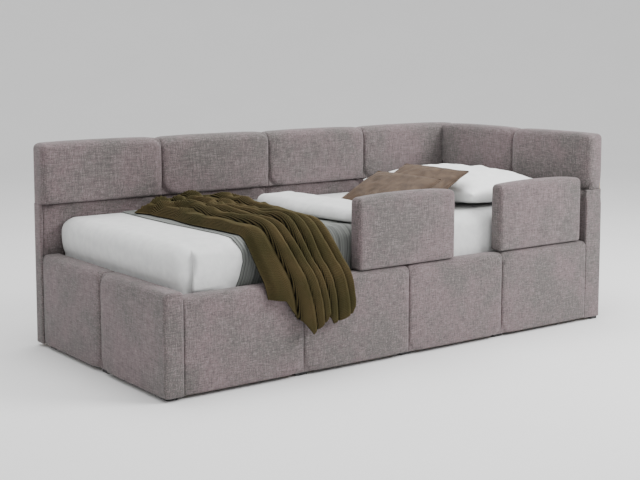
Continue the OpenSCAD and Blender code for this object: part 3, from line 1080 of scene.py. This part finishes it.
@dataclass
class Guard:
    """One padded guard that lifts out of the rail."""

    name: str
    grow_side: float = 0.008
    grow_front: float = 0.002
    grow_top: float = 0.003
    core_below: float = 0.05

    def pins(self) -> list[Point2]:
        """Centres of its two pins, seen from above."""
        lo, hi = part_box(f"{self.name}_pins")
        radius = (hi.y - lo.y) / 2
        return [(lo.x + radius, lo.y + radius), (hi.x - radius, lo.y + radius)]

    def build(self) -> None:
        """Make the pad around its plywood core."""
        lo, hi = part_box(f"{self.name}_pad")
        lo -= Vector((self.grow_side, self.grow_front, 0.0))
        hi += Vector((self.grow_side, 0.0, self.grow_top))
        core_lo, core_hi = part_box(f"{self.name}_core")
        below = Vector((0.0, 0.0, self.core_below))
        PaddedBlock(
            f"{self.name}_cushion",
            lo,
            hi,
            (0.017, 0.018, 0.012),
            (0.017, 0.016, 0.027),
            (
                Face(Axis.Y, Side.LOW, 0.0, 0.006),
                Face(Axis.Y, Side.HIGH, 0.0, 0.005),
                Face(Axis.X, Side.LOW, 0.0, 0.002),
                Face(Axis.X, Side.HIGH, 0.0, 0.002),
                Face(Axis.Z, Side.HIGH, 0.0, 0.012),
            ),
            step=0.008,
        ).build(UPHOLSTERY, self.name, [f"{self.name}_pad"], [plain_box(core_lo - below, core_hi)])


# ---- Bedding ----------------------------------------------------------------------------


@dataclass
class Track:
    """A path seen from the foot of the bed, from (y, z) points, read by its length."""

    points: Sequence[Point2]
    rounds: int = 3
    marks: list[float] = field(default_factory=list)

    def __post_init__(self) -> None:
        """Round the corners, and measure the path."""
        path = [Vector(point) for point in self.points]
        for _ in range(self.rounds):
            cut = [path[0]]
            for a, b in zip(path, path[1:]):
                cut += [a.lerp(b, 0.25), a.lerp(b, 0.75)]
            path = [*cut, path[-1]]
        self.path = path
        self.marks = [0.0]
        for a, b in zip(path, path[1:]):
            self.marks.append(self.marks[-1] + (b - a).length)

    @property
    def length(self) -> float:
        """Length of the whole path."""
        return self.marks[-1]

    def at(self, where: float) -> Vector:
        """The (y, z) point that far along."""
        where = min(max(where, 0.0), self.length)
        for place, mark in enumerate(self.marks[1:]):
            if where <= mark:
                start = self.marks[place]
                return self.path[place].lerp(self.path[place + 1], (where - start) / max(mark - start, 1e-9))
        return self.path[-1].copy()

    def normal(self, where: float) -> Vector:
        """The outward direction there, taken over a short stretch."""
        run = self.at(where + 0.012) - self.at(where - 0.012)
        return Vector((run.y, -run.x)).normalized()


@dataclass
class Mattress:
    """The mattress and the fitted sheet on it."""

    corner: Vector
    pleat_x: float = 0.163
    pleat_out: float = 0.014
    pleat_lean: float = 0.012
    gather_half: float = 0.045
    end_swell: float = 0.014

    def build_core(self) -> None:
        """The mattress itself, in ticking."""
        lo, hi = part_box("mattress")
        PaddedBlock(
            "mattress_body", lo, hi, (0.055, 0.055, 0.030), (0.055, 0.055, 0.045), (), (), 0.028
        ).build(Ticking(), BEDDING_BODY, ["mattress"], fill=1.0)

    def shaped(self, point: Vector) -> Vector:
        """Where the cloth of the fitted sheet goes.

        Args:
            point: A point of the sheet before it is wrinkled, in bed coordinates.

        Returns:
            The point with the side's belly, the corner pleat and soft wrinkles.
        """
        moved = point.copy()
        top = smooth(point.z, 0.44, 0.52)
        side = 1.0 - top
        belly = 0.0045 * math.sin(math.pi * min(1.0, max(0.0, (point.z - 0.365) / 0.155)))
        if point.y < 0.12:
            moved.y -= belly * smooth(point.y, 0.12, 0.09) * smooth(point.x, 0.42, 0.30)
        if point.x < 0.14:
            swell = math.sin(math.pi * min(1.0, max(0.0, (point.z - 0.384) / 0.150))) ** 0.6
            moved.x -= self.end_swell * swell * smooth(point.x, 0.14, 0.10)
        moved.z += 0.0012 * top * grain(point, 5.0) + 0.0006 * top * grain(point, 16.0, 3.0)
        front = smooth(point.y, 0.115, 0.092)
        span = smooth(point.z, 0.350, 0.362) * smooth(point.z, 0.512, 0.488)
        line = self.pleat_x + 0.004 * math.sin((point.z - 0.37) * 16.0)
        flap = smooth(point.x, line - 0.001, line + 0.003) * smooth(point.x, line + 0.16, line + 0.02)
        brim = smooth(point.x, line - 0.001, line + 0.003) * smooth(point.x, line + 0.018, line + 0.004)
        moved.y -= front * span * self.pleat_out * flap
        moved.x -= front * span * self.pleat_lean * brim
        slack = grain(Vector((point.x * 1.2, point.y * 1.2, point.z * 0.6)), 18.0, 9.0)
        if point.y < 0.12:
            moved.y += 0.0008 * side * slack
        return moved

    def build_sheet(self) -> None:
        """The fitted sheet: one skin over the top and down the sides, open below."""
        lo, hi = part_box("fitted_sheet")
        block = PaddedBlock("fitted_cover", lo, hi, (0.050, 0.055, 0.0), (0.050, 0.014, 0.050), (), ())
        bm = gridded_box(lo, hi, (0.008, 0.012, 0.008))
        under = [f for f in bm.faces if f.normal.z < -0.5]
        bmesh.ops.delete(bm, geom=under, context="FACES")
        gather_x = self.corner.x + self.pleat_x
        for vert in bm.verts:
            shift = vert.co.x - gather_x
            if abs(shift) < self.gather_half:
                pulled = self.gather_half * (abs(shift) / self.gather_half) ** 2
                vert.co.x = gather_x + math.copysign(pulled, shift)
            vert.co = self.shaped(block.rounded(vert.co) - self.corner) + self.corner
        obj = loose_object("fitted_cover", bm)
        wall = obj.modifiers.new("cloth", "SOLIDIFY")
        wall.thickness, wall.offset = 0.0015, -1.0
        bake(obj)
        add_piece("fitted_cover", obj, COTTON, BEDDING_BODY, ["fitted_sheet"])

    def build(self) -> None:
        """Make both."""
        self.build_core()
        self.build_sheet()


@dataclass
class Coverlet:
    """The striped coverlet laid across the bed and tucked down its sides."""

    corner: Vector
    end_x: float = 1.12
    columns: int = 150
    rows: int = 130
    cloth: float = 0.0020
    lift: float = 0.0045
    flat_x: float = 0.35
    turn: Point2 = (0.054, 0.049)
    side_edge: Sequence[Point2] = (
        (0.350, 0.342), (0.384, 0.358), (0.442, 0.374), (0.473, 0.371), (0.520, 0.350)
    )
    top_edge: Sequence[Point2] = (
        (0.094, 0.348), (0.219, 0.362), (0.387, 0.356), (0.556, 0.346), (0.756, 0.346), (0.93, 0.354)
    )

    def edge(self, y: float, z: float) -> float:
        """Where the left edge runs, on the top and down the open side."""
        if z < 0.52 and y < 0.2:
            return through(self.side_edge, z)
        return through(self.top_edge, y)

    def track(self) -> Track:
        """The path over the mattress: up the open side, across, and down at the rear."""
        sheet_lo, sheet_hi = (corner - self.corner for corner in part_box("fitted_sheet"))
        front, rear, top = sheet_lo.y - self.lift, sheet_hi.y + 0.0006, sheet_hi.z + self.lift + 0.002
        wide, high = self.turn
        bend = [math.radians(angle) for angle in range(0, 91, 15)]
        path = [(front, 0.352), (front, 0.41)]
        path += [(front + wide * (1 - math.cos(a)), top - high * (1 - math.sin(a))) for a in bend]
        path += [(rear - 0.016 * (1 - math.sin(a)), top - 0.050 * (1 - math.cos(a))) for a in bend]
        return Track((*path, (rear, 0.40)), rounds=2)

    def build(self) -> None:
        """Lay the cloth along its track and wrinkle it."""
        track = self.track()
        bm = gridded_sheet(self.columns, self.rows)
        charts = bm.loops.layers.uv.new("cloth")
        flat = {vert: (vert.co.x, vert.co.y) for vert in bm.verts}
        for vert, (u, v) in flat.items():
            run = v * track.length
            spot, out = track.at(run), track.normal(run)
            left = self.edge(spot.x, spot.y)
            x = left + u * (self.end_x - left)
            place = Vector((x, spot.x, spot.y))
            ruck = smooth(x, 0.74, 0.82) * smooth(spot.x, 0.40, 0.10)
            fan = math.atan2(x - 0.60, 0.22 - spot.x + 0.25)
            lift = 0.0006 + 0.0012 * (0.5 + 0.5 * grain(place, 12.0, 2.0))
            lift += 0.0045 * ruck * (0.5 + 0.5 * math.sin(fan * 34.0 + 3.0 * grain(place, 9.0)))
            lift += 0.0020 * smooth(u, 0.03, 0.0)
            if spot.y < 0.5 and spot.x < 0.2:
                lift = min(lift, 0.003)
            vert.co = self.corner + place + Vector((0.0, out.x, out.y)) * lift
        for face in bm.faces:
            for loop in face.loops:
                u, v = flat[loop.vert]
                loop[charts].uv = (u * (self.end_x - self.flat_x), v * track.length)
        obj = loose_object("striped_coverlet", bm)
        wall = obj.modifiers.new("cloth", "SOLIDIFY")
        wall.thickness, wall.offset = self.cloth, 0.0
        bake(obj)
        add_piece("striped_coverlet", obj, StripedCotton(), BEDDING_BODY, ["coverlet"])


@dataclass
class Throw:
    """The rib-knit throw, gathered into folds across the bed and hanging over the open side."""

    corner: Vector
    ribs: int = 110
    rows: int = 108
    pitch: float = 0.0115
    long: float = 1.05
    rib_height: float = 0.0018
    cloth: float = 0.0035
    rear_y: float = 0.930
    top_z: float = 0.535
    lowest_z: float = 0.10
    most_rise: float = 0.110
    rise_past_edge: float = 0.048
    stations: Sequence[float] = (0.0, 0.42, 0.82, 1.03, 1.22)
    rolls: Sequence[tuple[Sequence[float], Sequence[float], Sequence[float]]] = (
        ((0.08, 0.09, 0.11, 0.14, 0.18), (0.13, 0.13, 0.14, 0.14, 0.14), (0.024, 0.026, 0.020, 0.014, 0.012)),
        ((0.20, 0.25, 0.30, 0.36, 0.42), (0.09, 0.07, 0.07, 0.08, 0.09), (0.034, 0.040, 0.040, 0.034, 0.036)),
        ((0.36, 0.37, 0.42, 0.48, 0.55), (0.06, 0.06, 0.06, 0.06, 0.05), (0.040, 0.050, 0.034, 0.046, 0.034)),
        ((0.48, 0.48, 0.52, 0.58, 0.64), (0.08, 0.07, 0.05, 0.05, 0.05), (0.036, 0.046, 0.054, 0.036, 0.040)),
        ((0.60, 0.62, 0.63, 0.68, 0.73), (0.06, 0.08, 0.07, 0.05, 0.05), (0.055, 0.036, 0.058, 0.050, 0.030)),
        ((0.78, 0.76, 0.77, 0.81, 0.85), (0.09, 0.07, 0.08, 0.08, 0.08), (0.042, 0.058, 0.044, 0.050, 0.048)),
        ((0.93, 0.90, 0.91, 0.94, 0.96), (0.08, 0.08, 0.08, 0.06, 0.06), (0.026, 0.036, 0.034, 0.034, 0.030)),
    )
    left: Sequence[Point2] = (
        (0.00, 0.335), (0.06, 0.352), (0.16, 0.380), (0.32, 0.383), (0.50, 0.371), (0.65, 0.381),
        (0.80, 0.385), (0.88, 0.392), (0.97, 0.404), (1.03, 0.414), (1.09, 0.428), (1.18, 0.438),
        (1.25, 0.442),
    )
    right: Sequence[Point2] = (
        (0.00, 0.640), (0.06, 0.700), (0.14, 0.752), (0.24, 0.786), (0.38, 0.789), (0.55, 0.782),
        (0.70, 0.752), (0.80, 0.742), (0.88, 0.752), (0.97, 0.772), (1.05, 0.797), (1.12, 0.809),
        (1.25, 0.802),
    )
    hem: Sequence[Point2] = (
        (0.00, 0.312), (0.17, 0.300), (0.23, 0.262), (0.45, 0.166), (0.60, 0.205), (0.655, 0.236),
        (0.70, 0.194), (0.94, 0.222), (1.00, 0.268),
    )
    back: Sequence[Point2] = ((0.0, 0.860), (0.2, 0.895), (0.45, 0.905), (0.7, 0.900), (1.0, 0.830))

    def track(self) -> Track:
        """The path of a fold: across the bed, over its edge, past the rail and down."""
        return Track(
            ((self.rear_y, self.top_z), (0.50, self.top_z), (0.16, self.top_z), (0.108, 0.534),
             (0.076, 0.505), (0.046, 0.455), (0.014, 0.402), (-0.006, 0.366), (-0.009, 0.330),
             (-0.009, self.lowest_z))
        )

    def rolled(self, t: float, run: float) -> float:
        """How high the rolls of the gathered knit stand there.

        Args:
            t: Place across the throw, 0 to 1.
            run: Length along the path.

        Returns:
            The height of the highest roll, in metres.
        """
        best = 0.0
        wander = 0.022 * grain(Vector((t * 2.0, run * 3.0, 5.0)), 1.5, 4.0) * smooth(abs(t - 0.5), 0.5, 0.35)
        for centres, widths, heights in self.rolls:
            centre = through(tuple(zip(self.stations, centres)), run)
            width = through(tuple(zip(self.stations, widths)), run)
            off = abs(t + wander - centre) / (0.94 * width)
            if off < 1.0:
                height = through(tuple(zip(self.stations, heights)), run)
                best = max(best, 1.25 * height * (1.0 - off * off) ** 0.38)
        return best

    @staticmethod
    def ceiling(rise: float, most: float) -> float:
        """Keep a height below a limit, flattening it gently near that limit."""
        return most * math.tanh(rise / most)

    def strand(self, t: float, s: float, track: Track) -> Vector:
        """Find one point of the throw.

        Args:
            t: Place across the throw, 0 to 1.
            s: Place along it, from the rear to the hem, 0 to 1.
            track: The path that it follows.

        Returns:
            The point in bed coordinates.
        """
        start = self.rear_y - through(self.back, t)
        flat_end = track.length - (through(self.hem, t) - self.lowest_z)
        run = start + (flat_end - start) * s
        spot, out = track.at(run), track.normal(run)
        x0, x1 = through(self.left, run), through(self.right, run)
        loose = smooth(run, 0.62, 0.15)
        crumple = grain(Vector((t * 4.0, run * 5.5, 1.0)), 1.5, 11.0)
        rise = self.rolled(t, run) * (1.0 + 0.25 * crumple)
        knot = Vector((t * 2.0 + run * 1.5, run * 5.0 - t * 1.2, 3.0))
        tangle = 1.0 - min(1.0, 3.0 * abs(grain(knot, 1.5, 21.0)))
        rise += loose * 0.030 * tangle * tangle
        rise += 0.003 * (1.0 + grain(Vector((t * 6.0, run * 6.0, 2.0)), 1.2))
        rise *= smooth(t, -0.010, 0.085) * smooth(1.0 - t, -0.002, 0.035)
        rise *= 0.25 + 0.75 * smooth(run - start, 0.0, 0.09)
        lower = (self.most_rise - self.rise_past_edge) * smooth(run, 0.86, 0.98)
        rise = self.ceiling(rise, self.most_rise - lower)
        point = Vector((x0 + t * (x1 - x0) + 0.014 * loose * crumple, spot.x, spot.y))
        return point + Vector((0.0, out.x, out.y)) * rise

    def build(self) -> None:
        """Weave the strands, add the ribs, and give the knit its thickness."""
        track = self.track()
        columns = self.ribs * 4
        bm = gridded_sheet(columns, self.rows)
        charts = bm.loops.layers.uv.new("knit")
        flat = {vert: (vert.co.x, vert.co.y) for vert in bm.verts}
        for vert, (u, v) in flat.items():
            vert.co = self.corner + self.strand(u, v, track)
        bm.normal_update()
        ribs = {vert: math.cos(math.tau * self.ribs * u) for vert, (u, _) in flat.items()}
        moves = {vert: vert.normal * self.rib_height * ribs[vert] for vert in bm.verts}
        for vert, move in moves.items():
            vert.co += move
        for face in bm.faces:
            for loop in face.loops:
                u, v = flat[loop.vert]
                loop[charts].uv = (u * self.ribs * self.pitch, v * self.long)
        bmesh.ops.recalc_face_normals(bm, faces=bm.faces)
        obj = loose_object("knitted_throw", bm)
        wall = obj.modifiers.new("cloth", "SOLIDIFY")
        wall.thickness, wall.offset = self.cloth, 0.0
        bake(obj)
        add_piece("knitted_throw", obj, RibbedKnit(), BEDDING_BODY, ["throw"])


@dataclass
class StuffedBag:
    """A pillow or cushion: a flat bag of two sewn sheets, plumped up and laid down."""

    name: str
    size: Vector
    centre: Vector
    tilt: float
    finish: Finish
    nodes: Sequence[str]
    step: float = 0.013
    piping: float = 0.0
    under: float = 0.5
    belly: float = 1.0
    fill: float = 0.7
    cut: Point2 = (0.56, 0.545)  # half the flat bag, as shares of the finished size

    def flat_bag(self) -> bmesh.types.BMesh:
        """Two sheets sewn round their rim, slightly domed, cut larger than the finished piece."""
        half = Vector((self.size.x * self.cut[0], self.size.y * self.cut[1], 0.006))
        bm = gridded_box(-half, half, (self.step, self.step, 1.0))
        for vert in bm.verts:
            u, v = vert.co.x / half.x, vert.co.y / half.y
            dome = (1.0 - abs(u) ** 4) * (1.0 - abs(v) ** 4)
            vert.co.z = math.copysign(0.012 * dome, vert.co.z)
        bmesh.ops.remove_doubles(bm, verts=bm.verts, dist=0.0004)
        bmesh.ops.recalc_face_normals(bm, faces=bm.faces)
        return bm

    def plump(self, obj: bpy.types.Object) -> None:
        """Give the flat bag the swell, the slack and the drawn-in sides of a stuffed one."""
        half = Vector((self.size.x * self.cut[0], self.size.y * self.cut[1], 0.0))
        seed = seed_of(self.name)
        for vert in obj.data.vertices:
            u, v = abs(vert.co.x / half.x), abs(vert.co.y / half.y)
            dome = max(0.0, (1.0 - u**2.6) * (1.0 - v**2.6)) ** 0.55
            sag = 0.13 * grain(vert.co, 17.0, seed) + 0.07 * grain(vert.co, 41.0, seed)
            vert.co.z = math.copysign(self.size.z / 2 * dome * (1.0 + sag), vert.co.z)
            ease = 1.0 - 0.055 * (1.0 - u * u) * v - 0.055 * (1.0 - v * v) * u
            vert.co.x, vert.co.y = vert.co.x * ease, vert.co.y * ease

    def rim(self, obj: bpy.types.Object) -> list[Vector]:
        """The points of the sewn rim, in order round the piece."""
        mesh = obj.data
        half_u, half_v = self.size.x * self.cut[0], self.size.y * self.cut[1]
        marks = []
        for vert, start in zip(mesh.vertices, self.start):
            if abs(abs(start.x) - half_u) < 1e-4 or abs(abs(start.y) - half_v) < 1e-4:
                marks.append((math.atan2(start.y / half_v, start.x / half_u), vert.co.copy()))
        return [spot for _, spot in sorted(marks, key=lambda mark: mark[0])]

    def cord_mesh(self, points: Sequence[Vector]) -> bmesh.types.BMesh:
        """A round cord along a closed line of points."""
        curve = bpy.data.curves.new("cord", "CURVE")
        curve.dimensions = "3D"
        curve.bevel_depth, curve.bevel_resolution = self.piping, 2
        spline = curve.splines.new("POLY")
        spline.points.add(len(points) - 1)
        for mark, point in zip(spline.points, points):
            mark.co = (*point, 1.0)
        spline.use_cyclic_u = True
        holder = bpy.data.objects.new("cord", curve)
        bpy.context.collection.objects.link(holder)
        shaped = bpy.data.meshes.new_from_object(holder.evaluated_get(bpy.context.evaluated_depsgraph_get()))
        bm = bmesh.new()
        bm.from_mesh(shaped)
        bpy.data.meshes.remove(shaped)
        bpy.data.curves.remove(curve)
        return bm

    def build(self) -> None:
        """Make, fit, lay down and dress the piece."""
        bm = self.flat_bag()
        self.start = [vert.co.copy() for vert in bm.verts]
        obj = loose_object(self.name, bm)
        self.plump(obj)
        spots = [vert.co for vert in obj.data.vertices]
        spans = [max(spot[i] for spot in spots) - min(spot[i] for spot in spots) for i in range(3)]
        scale = Vector([self.size[i] / spans[i] for i in range(3)])
        log.info("%s: fitted by %s", self.name, [round(part, 2) for part in scale])
        settle = Matrix.Translation(self.centre) @ Euler((0.0, self.tilt, 0.0)).to_matrix().to_4x4()
        half = self.size.z / 2
        for vert in obj.data.vertices:
            vert.co = Vector([vert.co[i] * scale[i] for i in range(3)])
            if vert.co.z < 0.0:
                vert.co.z = -2 * self.under * half * min(1.0, -vert.co.z / half) ** self.belly
            else:
                vert.co.z *= 2 * (1.0 - self.under)
        line = self.rim(obj)
        merged = bmesh.new()
        merged.from_mesh(obj.data)
        if self.piping:
            cord = self.cord_mesh(line)
            holder = bpy.data.meshes.new("cord")
            cord.to_mesh(holder)
            cord.free()
            merged.from_mesh(holder)
            bpy.data.meshes.remove(holder)
        bmesh.ops.transform(merged, matrix=settle, verts=merged.verts)
        merged.to_mesh(obj.data)
        merged.free()
        obj.data.shade_smooth()
        finer = obj.modifiers.new("finer", "SUBSURF")
        finer.levels = finer.render_levels = 1
        bake(obj)
        add_piece(self.name, obj, self.finish, BEDDING_BODY, self.nodes)


@dataclass
class Duvet:
    """The white duvet, folded to a band across the bed."""

    corner: Vector
    wander: Sequence[Point2] = (
        (0.10, 0.035), (0.24, 0.012), (0.40, -0.006), (0.51, -0.002), (0.70, 0.030), (0.88, 0.075)
    )

    def build(self) -> None:
        """A plump roll whose front edge wanders."""
        lo, hi = self.corner + Vector((0.855, 0.100, 0.531)), self.corner + Vector((1.125, 0.835, 0.592))
        block = PaddedBlock(
            "folded_duvet",
            lo,
            hi,
            (0.045, 0.050, 0.012),
            (0.060, 0.060, 0.046),
            (Face(Axis.Z, Side.HIGH, 0.0, 0.012), Face(Axis.X, Side.LOW, 0.0, 0.006)),
            (),
            0.010,
            0.004,
        )
        bm = block.mesh()
        for vert in bm.verts:
            spot = vert.co - self.corner
            vert.co.x += through(self.wander, spot.y) * smooth(spot.x, 1.10, 0.90)
            crease = grain(Vector((spot.x * 1.0, spot.y * 3.0, spot.z)), 8.0, 2.0)
            vert.co.z += 0.004 * crease * smooth(spot.z, 0.54, 0.56)
        obj = loose_object("folded_duvet", bm)
        add_piece("folded_duvet", obj, COTTON, BEDDING_BODY, ["duvet"])


# ---- Frame, studio and assembly ---------------------------------------------------------


@dataclass
class CarriedParts:
    """The parts that keep the frame's own shape, and the finish of each."""

    ply: tuple[Colour, Colour] = ((0.60, 0.45, 0.28), (0.47, 0.32, 0.18))
    slat: tuple[Colour, Colour] = ((0.66, 0.50, 0.31), (0.50, 0.34, 0.18))

    def finishes(self) -> dict[str, Finish]:
        """The finish of each node, by the node's name."""
        plywood = SawnTimber("plywood", *self.ply, Axis.X)
        groups = (
            (SawnTimber(along=Axis.X), ("back_rails", "side_rail", "slat_ledgers", "centre_beam")),
            (SawnTimber(along=Axis.Y), ("head_rails", "foot_rails")),
            (SawnTimber(along=Axis.Z), ("back_stiles", "head_stiles", "foot_stiles", "centre_legs")),
            (plywood, ("back_plywood", "head_plywood", "guard_foot_core", "guard_head_core")),
            (SawnTimber("slat_wood", *self.slat, Axis.Y), ("slats",)),
            (WovenStrap(), ("slat_straps",)),
            (PressedSteel(), ("beam_hangers", "corner_brackets", "bracket_bolts")),
            (PressedSteel(), ("guard_foot_pins", "guard_head_pins")),
            (MouldedPlastic(), ("floor_glides", "guard_sockets")),
        )
        return {name: finish for finish, names in groups for name in names}

    def dress(self, nodes: dict[str, bpy.types.Object]) -> None:
        """Give every carried part its finish.

        Args:
            nodes: The frame's objects by name.
        """
        for name, finish in self.finishes().items():
            for slot in nodes[name].material_slots:
                slot.material = finish.material()
            log.info("%s: %s", name, finish.slot)


@dataclass
class Studio:
    """The floor, the light and the camera."""

    lens: float = 69.02
    shift: Point2 = (0.0027, -0.10)
    pitch: float = 6.141
    heading: float = 36.653
    stand: Vector = field(default_factory=lambda: Vector((-2.0139, -3.5862, 1.2236)))
    ambient: float = 0.90
    reach: float = 16.0
    level: float = 7.5
    climb: float = 0.10

    def build_floor(self) -> None:
        """A wide pale floor that curves up far outside the camera's stand."""
        bm = bmesh.new()
        bmesh.ops.create_grid(bm, x_segments=72, y_segments=72, size=self.reach)
        for vert in bm.verts:
            beyond = max(0.0, vert.co.xy.length - self.level)
            vert.co.z = self.climb * beyond * beyond
        floor = loose_object("studio_floor", bm)
        floor.data.materials.append(PaleFloor().material())

    def add_light(
        self, name: str, spot: Sequence[float], aim: Sequence[float], size: float, power: float
    ) -> None:
        """Hang one square soft light.

        Args:
            name: Name of the light.
            spot: Where it hangs.
            aim: What it points at.
            size: Length of its side.
            power: Its power in watts.
        """
        data = bpy.data.lights.new(name, "AREA")
        data.shape, data.size, data.energy = "SQUARE", size, power
        lamp = bpy.data.objects.new(name, data)
        lamp.location = spot
        lamp.rotation_euler = (Vector(aim) - Vector(spot)).to_track_quat("-Z", "Y").to_euler()
        bpy.context.collection.objects.link(lamp)

    def build_lights(self) -> None:
        """A broad light before the head end, a softer one overhead, and a bright room."""
        world = bpy.data.worlds.new("studio")
        world.use_nodes = True
        backdrop = world.node_tree.nodes["Background"]
        backdrop.inputs["Color"].default_value = (1.0, 1.0, 1.0, 1.0)
        backdrop.inputs["Strength"].default_value = self.ambient
        bpy.context.scene.world = world
        self.add_light("key", (3.1, -3.3, 3.4), (0.2, 0.0, 0.3), 2.6, 300.0)
        self.add_light("overhead", (-0.2, 0.4, 4.2), (0.0, 0.0, 0.4), 3.6, 150.0)

    def build_camera(self, corner: Vector) -> None:
        """Stand the camera at the open side's foot corner."""
        data = bpy.data.cameras.new("camera")
        data.lens, data.sensor_width = self.lens, 36.0
        data.shift_x, data.shift_y = self.shift
        data.dof.use_dof = False
        camera = bpy.data.objects.new("camera", data)
        camera.location = corner + self.stand
        camera.rotation_euler = (math.radians(90.0 - self.pitch), 0.0, math.radians(-self.heading))
        bpy.context.collection.objects.link(camera)
        bpy.context.scene.camera = camera

    def build(self, corner: Vector) -> None:
        """Set up the whole studio."""
        self.build_floor()
        self.build_lights()
        self.build_camera(corner)


@dataclass
class Bed:
    """The whole bed, in the order that its parts are made."""

    nodes: dict[str, bpy.types.Object]

    @property
    def corner(self) -> Vector:
        """The outer foot corner on the open side, on the floor."""
        return Vector((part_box("foot_pad_1")[0].x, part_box("side_pad_1")[0].y, 0.0))

    def bags(self) -> list[StuffedBag]:
        """The pillow and the two cushions that lean on it."""
        at = self.corner
        satin = BrownSatin()
        return [
            # The pillow takes the brighter copy of the white cotton: painted light
            StuffedBag(
                "sleeping_pillow", Vector((0.520, 0.745, 0.150)), at + Vector((1.815, 0.500, 0.594)),
                0.0, LitPillowCotton(), ["pillow"], under=0.46, belly=0.42,
            ),
            StuffedBag(
                "rear_cushion", Vector((0.305, 0.410, 0.092)), at + Vector((1.467, 0.402, 0.613)),
                math.radians(-28.0), satin, ["cushion_back"], step=0.010, piping=0.003,
            ),
            StuffedBag(
                "front_cushion", Vector((0.280, 0.410, 0.092)), at + Vector((1.256, 0.330, 0.607)),
                math.radians(-27.0), satin, ["cushion_front"], step=0.010, piping=0.003,
            ),
        ]

    def build(self) -> None:
        """Make every part of the bed."""
        for bag in self.bags():
            bag.build()
        guards = [Guard("guard_foot"), Guard("guard_head")]
        for guard in guards:
            guard.build()
        BackPanel().build()
        Headboard().build()
        LowPanels().build([pin for guard in guards for pin in guard.pins()])
        Mattress(self.corner).build()
        Coverlet(self.corner).build()
        Duvet(self.corner).build()
        Throw(self.corner).build()
        CarriedParts().dress(self.nodes)


def main() -> None:
    """Load the frame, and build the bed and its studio."""
    logging.basicConfig(level=logging.INFO, format="%(message)s")
    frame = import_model()
    bed = Bed(frame["nodes"])
    bed.build()
    Studio().build(bed.corner)


if __name__ == "__main__":
    main()
